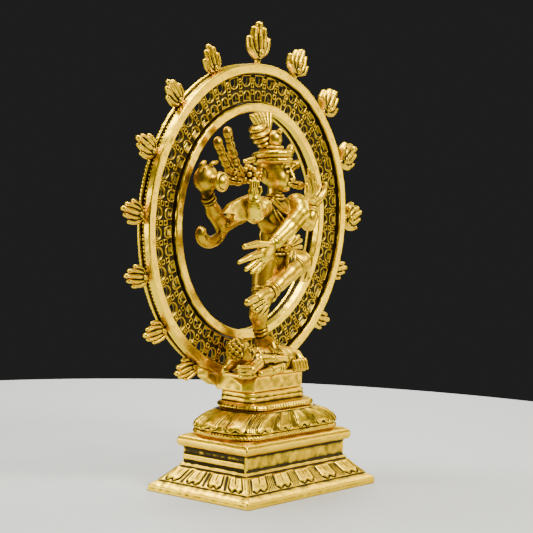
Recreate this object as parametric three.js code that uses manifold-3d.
// A cast-brass nataraja: the four-armed dancer inside a pierced ring of flames, standing on a
// prone dwarf, a lotus cushion and a stepped, hollow base.
// Millimetres, +Z up. The origin is the centre of the base's underside. The dancer faces -Y, and
// +X is the dancer's left. Every casting stands GAP clear of its neighbours.

import * as THREE from "three";
import { mergeVertices } from "three/addons/utils/BufferGeometryUtils.js";
import Module from "manifold-3d";

const wasm = await Module();
wasm.setup();

// ---------- driving dimensions ----------

const GAP = 0.3;

const BASE_WIDTH = 114.5;
const BASE_DEPTH = 70;
const BASE_TOP = 31.5;
const BASE_WALL = 3.2;
const BASE_CEILING = 28.4;
const LOTUS_TOP = 45;
const NECK_TOP = 54.2;
const RIM_Y = 1;
const MOULDING_Y = 3.2;
const SLAB_TOP = 63;
const SLAB_HALF_WIDTH = 25.8;
const SLAB_HALF_DEPTH = 13.5;
const SLAB_Y = 6;
const SLAB_CORNER = 4.7;

const ROD_RADIUS = 3;
const ROD_Y = 2;
const ROD_BOTTOM = 20;
const ROD_TOP = 60.5;
const NUT_RADIUS = 5.7;
const WASHER_RADIUS = 8;

const RING_Z = 145.2;
const RING_FRONT = 13.8;
const RING_DEPTH = 9;
const FLANGE = 4;
const BACK_FLANGE = 1.7;
const OUTER_RADIUS = 86.3;
const OUTER_INSIDE = 81;
const INNER_OUTSIDE = 64.8;
const INNER_RADIUS = 60;
const CHANNEL = 2.3;
const RING_STEPS = 54;

const LATTICE_UNITS = 45;
const LATTICE_FRONT = 16.3;
const LATTICE_THICKNESS = 3;

const FLAME_HEIGHT = 20;
const FLAME_THICKNESS = 2.7;
const FLAME_NECK = 2.6;
const TOP_FLAME_SCALE = 1.235;
const FLAME_LEAN = 0.3;
// Each flame's place on the ring in degrees from the top, brazed on by hand and so a little uneven.
const FLAME_ANGLES = [
  -152, -130, -108.5, -87, -65, -43.5, -21.7, 0,
  22.5, 45.5, 68, 90.5, 110.5, 131, 152,
];

const LAST_FORWARD_FLAME = 100;

const SMALLEST_FACET = 0.12;
const CORNER_STEPS = 4;
const LIMB_SEGMENTS = 8;
const OVAL_SEGMENTS = 12;
const OVAL_RINGS = 6;
const ROD_SEGMENTS = 20;

const DEGREE = Math.PI / 180;

const BRASS = { color: 0xc79a2e, roughness: 0.32, metalness: 1 };
const BUFFED_BRASS = { color: 0xe0b74a, roughness: 0.22, metalness: 1 };
const DARK_BRASS = { color: 0x7a5a1c, roughness: 0.5, metalness: 1 };
const STEEL = { color: 0x9a9da0, roughness: 0.4, metalness: 1 };

const statue = new THREE.Group();

// ---------- solids ----------

function signedVolume(points, index) {
  const a = new THREE.Vector3();
  const b = new THREE.Vector3();
  const c = new THREE.Vector3();
  let volume = 0;
  for (let i = 0; i < index.length; i += 3) {
    a.fromArray(points, 3 * index[i]);
    b.fromArray(points, 3 * index[i + 1]);
    c.fromArray(points, 3 * index[i + 2]);
    volume += a.dot(b.cross(c)) / 6;
  }
  return volume;
}

// A closed geometry as a solid: shared vertices merged, slivers dropped, faces turned outwards.
function toSolid(geometry) {
  const bare = geometry.clone();
  bare.deleteAttribute("normal");
  bare.deleteAttribute("uv");
  const merged = mergeVertices(bare, 1e-4);
  const points = merged.attributes.position.array;
  const faces = [];
  for (let i = 0; i < merged.index.count; i += 3) {
    const [a, b, c] = merged.index.array.slice(i, i + 3);
    if (a !== b && b !== c && c !== a) {
      faces.push(a, b, c);
    }
  }
  if (signedVolume(points, faces) < 0) {
    faces.reverse();
  }
  return new wasm.Manifold(new wasm.Mesh({
    numProp: 3,
    vertProperties: new Float32Array(points),
    triVerts: new Uint32Array(faces),
  }));
}

function toGeometry(solid) {
  const mesh = solid.getMesh();
  const geometry = new THREE.BufferGeometry();
  geometry.setAttribute("position", new THREE.BufferAttribute(mesh.vertProperties, 3));
  geometry.setIndex(new THREE.BufferAttribute(mesh.triVerts, 1));
  geometry.computeVertexNormals();
  return geometry;
}

function join(solids) {
  return solids.reduce((whole, solid) => whole.add(solid));
}

// The biggest body of a cut piece: crumbs that a cut leaves are filed off.
function biggest(solid) {
  const bodies = solid.decompose();
  bodies.sort((a, b) => b.volume() - a.volume());
  return bodies[0];
}

// A skin through rings of equal point counts, closed by a flat face at each end.
function loft(rings) {
  const count = rings[0].length;
  const last = (rings.length - 1) * count;
  const faces = [];
  for (let start = 0; start < last; start += count) {
    for (let i = 0; i < count; i += 1) {
      const a = start + i;
      const b = start + (i + 1) % count;
      faces.push(a, b, b + count, a, b + count, a + count);
    }
  }
  for (let i = 1; i < count - 1; i += 1) {
    faces.push(0, i + 1, i);
    faces.push(last, last + i, last + i + 1);
  }
  const geometry = new THREE.BufferGeometry();
  const points = new Float32Array(rings.flat(2));
  geometry.setAttribute("position", new THREE.BufferAttribute(points, 3));
  geometry.setIndex(faces);
  return geometry;
}

// A level rounded rectangle, anticlockwise from above.
function level(halfX, halfY, corner, z, centreY = 0, steps = CORNER_STEPS) {
  const ring = [];
  for (let quarter = 0; quarter < 4; quarter += 1) {
    const signX = quarter === 0 || quarter === 3 ? 1 : -1;
    const signY = quarter < 2 ? 1 : -1;
    for (let s = 0; s <= steps; s += 1) {
      const angle = (quarter + s / steps) * Math.PI / 2;
      const x = signX * (halfX - corner) + corner * Math.cos(angle);
      const y = signY * (halfY - corner) + corner * Math.sin(angle);
      ring.push([x, centreY + y, z]);
    }
  }
  return ring;
}

function upright(radius, bottom, top, segments = ROD_SEGMENTS) {
  const geometry = new THREE.CylinderGeometry(radius, radius, top - bottom, segments);
  geometry.rotateX(Math.PI / 2);
  geometry.translate(0, ROD_Y, (bottom + top) / 2);
  return toSolid(geometry);
}

function oval(centre, radii, grow = 0) {
  const geometry = new THREE.SphereGeometry(1, OVAL_SEGMENTS, OVAL_RINGS);
  geometry.rotateX(Math.PI / 2);
  geometry.scale(...radii.map((radius) => radius + grow));
  geometry.translate(...centre);
  return toSolid(geometry);
}

// One octagonal tube with blunt round ends, through joints [x, y, z, radius].
function limb(joints, grow = 0) {
  const centres = joints.map(([x, y, z]) => new THREE.Vector3(x, y, z));
  const radii = joints.map(([, , , radius]) => radius + grow);
  const last = joints.length - 1;
  const ways = centres.map((_, i) => {
    const ahead = centres[Math.min(i + 1, last)];
    return ahead.clone().sub(centres[Math.max(i - 1, 0)]).normalize();
  });
  const side = new THREE.Vector3(0, 1, 0).cross(ways[0]).normalize();
  const turn = new THREE.Quaternion();
  const rings = [];
  const addRing = (i, along, share) => {
    const across = side.clone().cross(ways[i]);
    const centre = centres[i].clone().addScaledVector(ways[i], along * radii[i]);
    const ring = [];
    for (let s = 0; s < LIMB_SEGMENTS; s += 1) {
      const angle = -2 * Math.PI * s / LIMB_SEGMENTS;
      const point = centre.clone();
      point.addScaledVector(side, Math.cos(angle) * share * radii[i]);
      point.addScaledVector(across, Math.sin(angle) * share * radii[i]);
      ring.push(point.toArray());
    }
    rings.push(ring);
  };
  addRing(0, -0.75, 0.6);
  for (let i = 0; i <= last; i += 1) {
    if (i > 0) {
      side.applyQuaternion(turn.setFromUnitVectors(ways[i - 1], ways[i]));
    }
    addRing(i, 0, 1);
  }
  addRing(last, 0.75, 0.6);
  return toSolid(loft(rings));
}

// An upright plate: an outline in X and Z, centred on depth y.
function plate(outline, thickness, y) {
  const shape = new THREE.Shape(outline.map(([x, z]) => new THREE.Vector2(x, z)));
  const geometry = new THREE.ExtrudeGeometry(shape, { depth: thickness, bevelEnabled: false });
  geometry.rotateX(Math.PI / 2);
  geometry.translate(0, y + thickness / 2, 0);
  return toSolid(geometry);
}

function place(name, solid, finish) {
  const geometry = toGeometry(solid.simplify(SMALLEST_FACET));
  const mesh = new THREE.Mesh(geometry, new THREE.MeshStandardMaterial(finish));
  mesh.name = name;
  statue.add(mesh);
  return mesh;
}

// ---------- base and pedestal ----------

// The base's sides: height, and how far each side stands in from the foot's edge.
const BASE_PROFILE = [
  [0, 0], [3, 0], [5.7, 3.2], [6.3, 3.5], [9, 6.6], [13.5, 10.7], [14.6, 12.6],
  [24.5, 12.8], [24.9, 11.2], [28, 10.5], [30.2, 11], [BASE_TOP, 12.6],
];
const HOLLOW_PROFILE = [
  [-1, BASE_WALL], [3, BASE_WALL], [6.3, 6.8], [13.5, 14], [16, 16], [BASE_CEILING, 16],
];

function squareLoft(profile) {
  const rings = profile.map(([z, inset]) => (
    level(BASE_WIDTH / 2 - inset, BASE_DEPTH / 2 - inset, 0.9, z, 0, 1)
  ));
  return toSolid(loft(rings));
}

function makeBase() {
  const shell = squareLoft(BASE_PROFILE).subtract(squareLoft(HOLLOW_PROFILE));
  const rodHole = upright(ROD_RADIUS + GAP, BASE_CEILING - 1, BASE_TOP + 1);
  place("base_plinth", shell.subtract(rodHole), BRASS);
}

// The lotus cushion: a rope rim, a seam, then a domed bed of petals.
function makeLotus() {
  const profile = [
    [BASE_TOP + GAP, 45.3, 22.6, 16], [33, 46, 23.3, 17], [34.3, 45.3, 22.6, 16],
    [34.8, 44.6, 21.6, 16], [36, 46.4, 22.6, 17], [38.2, 45, 21.8, 17], [41, 40, 20.2, 16],
    [43.4, 34, 18.4, 15], [LOTUS_TOP, 29.6, 16.8, 14],
  ];
  const cushion = toSolid(loft(profile.map(([z, x, y, corner]) => level(x, y, corner, z))));
  const rodHole = upright(ROD_RADIUS + GAP, BASE_TOP - 1, LOTUS_TOP + 1);
  place("lotus_cushion", cushion.subtract(rodHole), BRASS);
}

// The neck: a flared, oval rim, then one straight moulding set back under the slab.
function makeNeck() {
  const profile = [
    [LOTUS_TOP + GAP, 29.2, 16.2, 15, RIM_Y], [46.4, 31.2, 17.6, 16.4, RIM_Y],
    [48.4, 30, 16.6, 15.4, RIM_Y], [48.9, 25.4, 12.2, 6, MOULDING_Y],
    [NECK_TOP, 24.8, 11.8, 6, MOULDING_Y],
  ];
  const rings = profile.map(([z, x, y, corner, middle]) => level(x, y, corner, z, middle, 2));
  const rodHole = upright(ROD_RADIUS + GAP, LOTUS_TOP, NECK_TOP + 1);
  place("neck_collar", toSolid(loft(rings)).subtract(rodHole), BRASS);
}

// A solid round bar about the ring's own axis, used to cut what the ring rests in.
function ringSeat() {
  const geometry = new THREE.CylinderGeometry(
    OUTER_RADIUS + GAP, OUTER_RADIUS + GAP, RING_DEPTH + 2 * GAP, RING_STEPS,
  );
  geometry.translate(0, RING_FRONT + RING_DEPTH / 2, RING_Z);
  return toSolid(geometry);
}

// The footing slab, its rear edge notched for the ring.
function makeSlab() {
  const rings = [[NECK_TOP + GAP, 0.8], [NECK_TOP + GAP + 0.8, 0], [SLAB_TOP - 0.8, 0], [SLAB_TOP, 0.8]].map(
    ([z, inset]) => level(
      SLAB_HALF_WIDTH - inset, SLAB_HALF_DEPTH - inset, SLAB_CORNER, z, SLAB_Y, 1,
    ),
  );
  const rodHole = upright(ROD_RADIUS + GAP, NECK_TOP, ROD_TOP + GAP);
  const slab = toSolid(loft(rings)).subtract(rodHole).subtract(ringSeat());
  place("footing_slab", slab, BRASS);
}

function makeTie() {
  const nutTop = 26.4;
  const nutHeight = 4.4;
  const washerBottom = 26.8;
  const washerTop = BASE_CEILING - GAP;
  const hole = upright(ROD_RADIUS + GAP, ROD_BOTTOM, BASE_CEILING);
  const nut = upright(NUT_RADIUS, nutTop - nutHeight, nutTop, 6);
  const washer = upright(WASHER_RADIUS, washerBottom, washerTop);
  place("tie_rod", upright(ROD_RADIUS, ROD_BOTTOM, ROD_TOP), STEEL);
  place("tie_nut", nut.subtract(hole), STEEL);
  place("tie_washer", washer.subtract(hole), STEEL);
}

// ---------- the ring of flames ----------

// A hoop about the ring's axis, from a closed profile of [radius, depth behind the front face].
function hoop(profile) {
  const points = profile.map(([radius, y]) => new THREE.Vector2(radius, RING_FRONT + y));
  points.push(points[0].clone());
  const geometry = new THREE.LatheGeometry(points, RING_STEPS);
  geometry.translate(0, 0, RING_Z);
  return toSolid(geometry);
}

// Both bands are channels: a broad polished front flange, a sunk beaded floor, a thin back flange.
function makeBands() {
  const floorEnd = RING_DEPTH - BACK_FLANGE;
  place("arch_outer_band", hoop([
    [OUTER_INSIDE, 0], [OUTER_RADIUS, 0], [OUTER_RADIUS, FLANGE],
    [OUTER_RADIUS - CHANNEL, FLANGE], [OUTER_RADIUS - CHANNEL, floorEnd],
    [OUTER_RADIUS - 0.3, floorEnd], [OUTER_RADIUS - 0.3, RING_DEPTH], [OUTER_INSIDE, RING_DEPTH],
  ]), BUFFED_BRASS);
  place("arch_inner_band", hoop([
    [INNER_OUTSIDE, 0], [INNER_OUTSIDE, RING_DEPTH], [INNER_RADIUS + 0.3, RING_DEPTH],
    [INNER_RADIUS + 0.3, floorEnd], [INNER_RADIUS + CHANNEL, floorEnd],
    [INNER_RADIUS + CHANNEL, FLANGE], [INNER_RADIUS, FLANGE], [INNER_RADIUS, 0],
  ]), BUFFED_BRASS);
}

// A pierced web between the bands: a row of arches stands on the inner one, and a row of larger
// arches hangs from the outer one, crown to crown.
function makeLattice() {
  const web = new THREE.Shape();
  web.absarc(0, 0, OUTER_INSIDE - GAP, 0, 2 * Math.PI);
  const middle = new THREE.Path();
  middle.absarc(0, 0, INNER_OUTSIDE + GAP, 0, 2 * Math.PI);
  web.holes.push(middle);
  const standing = [[66, -3], [66, 3], [69.8, 2.8], [71.4, 1.2], [71.4, -1.2], [69.8, -2.8]];
  const hanging = [[79.8, -3.7], [79.8, 3.7], [76, 3.2], [74.2, 1.4], [74.2, -1.4], [76, -3.2]];
  const pierce = (outline, turn) => {
    const corners = outline.map(([radius, across]) => {
      const angle = turn + across / radius;
      return new THREE.Vector2(radius * Math.cos(angle), radius * Math.sin(angle));
    });
    web.holes.push(new THREE.Path(corners));
  };
  for (let i = 0; i < LATTICE_UNITS; i += 1) {
    pierce(standing, i * 2 * Math.PI / LATTICE_UNITS);
    pierce(hanging, i * 2 * Math.PI / LATTICE_UNITS);
  }
  const geometry = new THREE.ExtrudeGeometry(web, {
    depth: LATTICE_THICKNESS,
    bevelEnabled: false,
    curveSegments: RING_STEPS / 2,
  });
  geometry.rotateX(Math.PI / 2);
  geometry.translate(0, LATTICE_FRONT + LATTICE_THICKNESS, RING_Z);
  place("arch_lattice", toSolid(geometry), DARK_BRASS);
}

// One flame: a square root, then five tongues that fan out and lean towards the upright.
function flameOutline(scale, lean) {
  const fan = [
    [-4.4, 2.6], [-6.9, 7.6], [-4.9, 6.8], [-5.6, 12.4], [-3, 11], [0, FLAME_HEIGHT - FLAME_NECK],
    [3, 11], [5.6, 12.4], [4.9, 6.8], [6.9, 7.6], [4.4, 2.6],
  ];
  const turned = fan.map(([x, z]) => [
    scale * (x * Math.cos(lean) + z * Math.sin(lean)),
    FLAME_NECK + scale * (z * Math.cos(lean) - x * Math.sin(lean)),
  ]);
  return [[2.6, 0], [-2.6, 0], [-2.6, FLAME_NECK], ...turned, [2.6, FLAME_NECK]];
}

// The flames on the dancer's right stand in the outer band's channel. From the top one on they stand
// further forward, on the rim of the front flange.
function makeFlames() {
  const inChannel = {
    radius: OUTER_RADIUS - CHANNEL + GAP,
    y: RING_FRONT + (FLANGE + RING_DEPTH - BACK_FLANGE) / 2,
  };
  const onFlange = { radius: OUTER_RADIUS + GAP, y: RING_FRONT + FLANGE / 2 };
  FLAME_ANGLES.forEach((degrees, i) => {
    const scale = degrees === 0 ? TOP_FLAME_SCALE : 0.92;
    const lean = -FLAME_LEAN * degrees * Math.abs(degrees) / 152 * DEGREE;
    const flame = plate(flameOutline(scale, lean), FLAME_THICKNESS, 0);
    const mesh = place(`flame_${String(i + 1).padStart(2, "0")}`, flame, BRASS);
    const angle = degrees * DEGREE;
    const root = degrees >= 0 && degrees < LAST_FORWARD_FLAME ? onFlange : inChannel;
    mesh.position.set(
      root.radius * Math.sin(angle), root.y, RING_Z + root.radius * Math.cos(angle),
    );
    mesh.rotation.y = angle;
  });
}

// A cheek between the slab's side and the ring's underside.
function makeArchFoot(name, side) {
  const inner = SLAB_HALF_WIDTH + GAP;
  const outer = inner + 8.7;
  const outline = [[inner, 56], [outer, 62], [outer, 72], [inner, 72]];
  const cheek = plate(outline.map(([x, z]) => [side * x, z]), 7, 18);
  place(name, biggest(cheek.subtract(ringSeat())), BRASS);
}

// ---------- the dancer and the dwarf ----------

const FIGURE = {
  dwarf_body: (grow) => join([
    oval([-8, -2, 71.2], [15.5, 8.6, 7.6], grow),
    oval([9, -2, 70.6], [9.5, 7.6, 7], grow),
    limb([[12, -5, 69, 5], [22, -5, 67.6, 4.1], [29, -3, 66.6, 3]], grow),
    limb([[12, 3, 69, 5], [22, 3, 67.8, 4.1], [29, 2, 66.6, 3]], grow),
    limb([[-19, -6, 70, 4.2], [-25, -9, 67, 3.3], [-31, -7, 66.6, 3]], grow),
    limb([[-3, -8, 71, 3.6], [-4, -9.5, 67, 3], [6, -9, 66.4, 2.7]], grow),
  ]),
  dwarf_head: (grow) => join([
    oval([-30, -2.5, 77.6], [7.4, 7.2, 7.8], grow),
    limb([[-30, -2, 76, 5.4], [-20, -2, 73, 5.4]], grow),
  ]),
  torso: (grow) => join([
    oval([0, 0.2, 148.2], [12.4, 7.4, 10.6], grow),
    oval([3, 1, 126.8], [11.2, 8.2, 8.6], grow),
    limb([[1, 0.5, 147, 6.8], [2, 1, 138.5, 6.6], [3, 1, 129, 7.4]], grow),
    limb([[-11.5, -1.5, 154, 4.8], [11.5, -2.5, 154, 4.8]], grow),
    limb([[0, -0.2, 153, 4.2], [0, 0, 162, 3.7]], grow),
  ]),
  standing_leg: (grow) => join([
    limb([[-4, 1.6, 124, 7.6], [-10.6, -1.4, 104, 5.6], [-4.6, 2.6, 86, 4]], grow),
    limb([[-4.6, 2, 84.5, 4], [-2.8, -5.5, 81.6, 3]], grow),
  ]),
  raised_leg: (grow) => join([
    limb([[7, -0.5, 125, 7.6], [15, -6, 124, 6.3]], grow),
    limb([[15, -6, 124, 6.3], [-11, -8.4, 109.2, 4]], grow),
    limb([[-11, -8.4, 109.2, 4], [-18, -8.8, 105, 4.2], [-28.6, -9.2, 102.8, 3]], grow),
  ]),
  head: (grow) => join([
    oval([0.2, 0.8, 172.6], [7.7, 8.5, 10], grow),
    limb([[-6, 4, 180.4, 3.2], [6, 4, 180.4, 3.2]], grow),
  ]),
  crown: (grow) => join([
    limb([[0, 2.2, 187, 6], [-0.4, 2.4, 192.4, 4.4]], grow),
    oval([-6, 7.4, 192.2], [7.6, 5.8, 5.6], grow),
    limb([[-3.4, 6.4, 196, 3.4], [-8.6, 9.2, 201.4, 2.6], [1, 8.6, 202.8, 2.6]], grow),
  ]),
  front_right_arm: (grow) => join([
    limb([[-15.5, -3, 155, 4.8], [-26.4, -7.4, 150.8, 4.1]], grow),
    limb([[-26.4, -7.4, 150.8, 4.1], [-30.6, -9.6, 159, 3.4]], grow),
    oval([-32, -10.2, 163.6], [4.1, 2.3, 5.4], grow),
    limb([[-28.6, -10.2, 160.6, 1.8], [-27.4, -11.2, 164.6, 1.4]], grow),
  ]),
  rear_right_arm: (grow) => join([
    limb([[-13.5, 5, 154.6, 4.6], [-38, 6, 143.5, 4.2]], grow),
    limb([[-38, 6, 143.5, 4.2], [-51, 5, 159.5, 3.4]], grow),
    oval([-51, 6, 168.8], [7.2, 5.6, 7.2], grow),
    limb([[-54, 4, 171, 1.8], [-56, 4, 177, 1.3]], grow),
    limb([[-49.4, 4, 171, 1.8], [-48, 4, 177.6, 1.3]], grow),
  ]),
  front_left_arm: (grow) => join([
    limb([[14.4, -4, 155.4, 5.2], [9.5, -11, 150.6, 4.6]], grow),
    limb([[9.5, -11, 150.6, 4.6], [-15.8, -13, 135.8, 3.3]], grow),
    limb([[-15.8, -13, 135.8, 3.3], [-27, -13.4, 129.6, 3.4], [-44.4, -13.2, 126.4, 1.6]], grow),
    limb([[-22, -13.2, 133.4, 2.4], [-40.6, -13.4, 134.4, 1.4]], grow),
    limb([[-27, -13.2, 129, 2.8], [-35, -12.8, 122.2, 2]], grow),
  ]),
  rear_left_arm: (grow) => join([
    limb([[13.5, 5, 154.6, 4.6], [39, 5, 143.5, 4.2]], grow),
    limb([[39, 5, 143.5, 4.2], [41.4, 5, 155, 3.2]], grow),
    limb([[33.4, 4.4, 163, 1.5], [35.4, 4.4, 157.6, 2.2], [42, 4.4, 155.8, 2.8]], grow),
    limb([[42, 4.4, 155.8, 2.8], [47.2, 4.4, 159.4, 2.2], [50, 4, 166, 1.4]], grow),
  ]),
  hand_flame: (grow) => limb([[40.6, 4.6, 163.2, 3.4], [40, 4.6, 168, 2.6], [36.4, 4.6, 174, 0.9]], grow),
  hair_locks_right: (grow) => join([
    limb([[-8, 9, 174, 2.8], [-18, 10, 184, 1.7], [-27.4, 10, 193, 2.5]], grow),
    limb([[-8, 9, 174, 2.8], [-23, 10, 180, 1.6], [-35.6, 10, 187, 2.5]], grow),
    limb([[-8, 9, 174, 2.8], [-24, 10, 170, 1.6], [-38, 10, 169, 2.4]], grow),
  ]),
  hair_locks_left: (grow) => join([
    limb([[8, 9, 174, 2.8], [17, 10, 181, 1.6], [27, 10, 186, 2.5]], grow),
    limb([[8, 9, 174, 2.8], [21, 10, 175.6, 1.6], [33, 10, 177.4, 2.5]], grow),
    limb([[8, 9, 174, 2.8], [20, 10, 169, 1.6], [38, 10, 166, 2.4]], grow),
  ]),
  cobra: (grow) => join([
    limb([[-34, 6, 138.6, 2.4], [-43, 4.6, 134.6, 2.5], [-52, 3, 134.2, 2.5]], grow),
    limb([[-52, 3, 134.2, 2.5], [-57.4, 3, 138.4, 2.8], [-58.4, 2.8, 141.8, 2.3]], grow),
  ]),
};

// An hourglass drum on an axis along Y.
function drum(grow) {
  const half = 8.6 + grow;
  const rim = 4.4 + grow;
  const waist = 2.2 + grow;
  const profile = [[0, -half], [rim, -half], [rim, 1.4 - half], [waist, 0], [rim, half - 1.4],
    [rim, half], [0, half]];
  const geometry = new THREE.LatheGeometry(profile.map(([x, y]) => new THREE.Vector2(x, y)), 16);
  geometry.translate(-51.4, 4.4, 167.4);
  return toSolid(geometry);
}

// A round ear ornament on an axis along X.
function earDisc(side) {
  const profile = [[0, 7], [3.6, 7.1], [5.2, 8], [5.2, 9.6], [2.6, 10.6], [0, 10.6]];
  const points = profile.map(([radius, x]) => new THREE.Vector2(radius, x));
  const geometry = new THREE.LatheGeometry(points, 16);
  geometry.rotateZ(-side * Math.PI / 2);
  geometry.translate(0, 4.6, 170.6);
  return toSolid(geometry);
}

const SCARF_OUTLINE = [
  [-26.5, 150.4], [-27, 160.6], [-32, 157.6], [-39, 156.2], [-47, 151.2], [-43.4, 150.6], [-39, 148.4],
];
const SASH_OUTLINE = [
  [13.4, 126], [21, 125], [27.4, 119], [28.8, 112], [33.6, 112], [33.4, 118], [28.6, 126],
  [25.4, 134], [22.6, 137.6], [14, 134.6],
];

// Each casting is cut back to stand clear of the ones that it is brazed against.
function trimmed(solid, neighbours) {
  const cut = neighbours.reduce((left, neighbour) => left.subtract(neighbour), solid);
  return biggest(cut);
}

function makeDancer() {
  const grown = (name) => (name === "drum" ? drum(GAP) : FIGURE[name](GAP));
  const trims = {
    dwarf_body: [],
    dwarf_head: ["dwarf_body"],
    torso: [],
    standing_leg: ["torso", "dwarf_body"],
    raised_leg: ["torso", "standing_leg"],
    head: ["torso"],
    crown: ["head"],
    front_right_arm: ["torso"],
    rear_right_arm: ["torso", "front_right_arm", "drum"],
    front_left_arm: ["torso"],
    rear_left_arm: ["torso", "front_left_arm"],
    hand_flame: ["rear_left_arm"],
    hair_locks_right: ["head", "crown"],
    hair_locks_left: ["head", "crown"],
    cobra: ["rear_right_arm"],
  };
  for (const [name, neighbours] of Object.entries(trims)) {
    place(name, trimmed(FIGURE[name](0), neighbours.map(grown)), BRASS);
  }
  place("drum", drum(0), BRASS);
  const rightDisc = trimmed(earDisc(-1), ["head", "hair_locks_right"].map(grown));
  const leftDisc = trimmed(earDisc(1), ["head", "hair_locks_left"].map(grown));
  place("ear_disc_right", rightDisc, BRASS);
  place("ear_disc_left", leftDisc, BRASS);
  const scarf = plate(SCARF_OUTLINE, 2.4, -2);
  place("shoulder_scarf", trimmed(scarf, ["front_right_arm", "rear_right_arm"].map(grown)), BRASS);
  const sash = plate(SASH_OUTLINE, 3, 1);
  place("hip_sash", trimmed(sash, ["torso", "raised_leg"].map(grown)), BRASS);
}

makeBase();
makeTie();
makeLotus();
makeNeck();
makeSlab();
makeBands();
makeLattice();
makeFlames();
makeArchFoot("arch_foot_right", -1);
makeArchFoot("arch_foot_left", 1);
makeDancer();

export default statue;
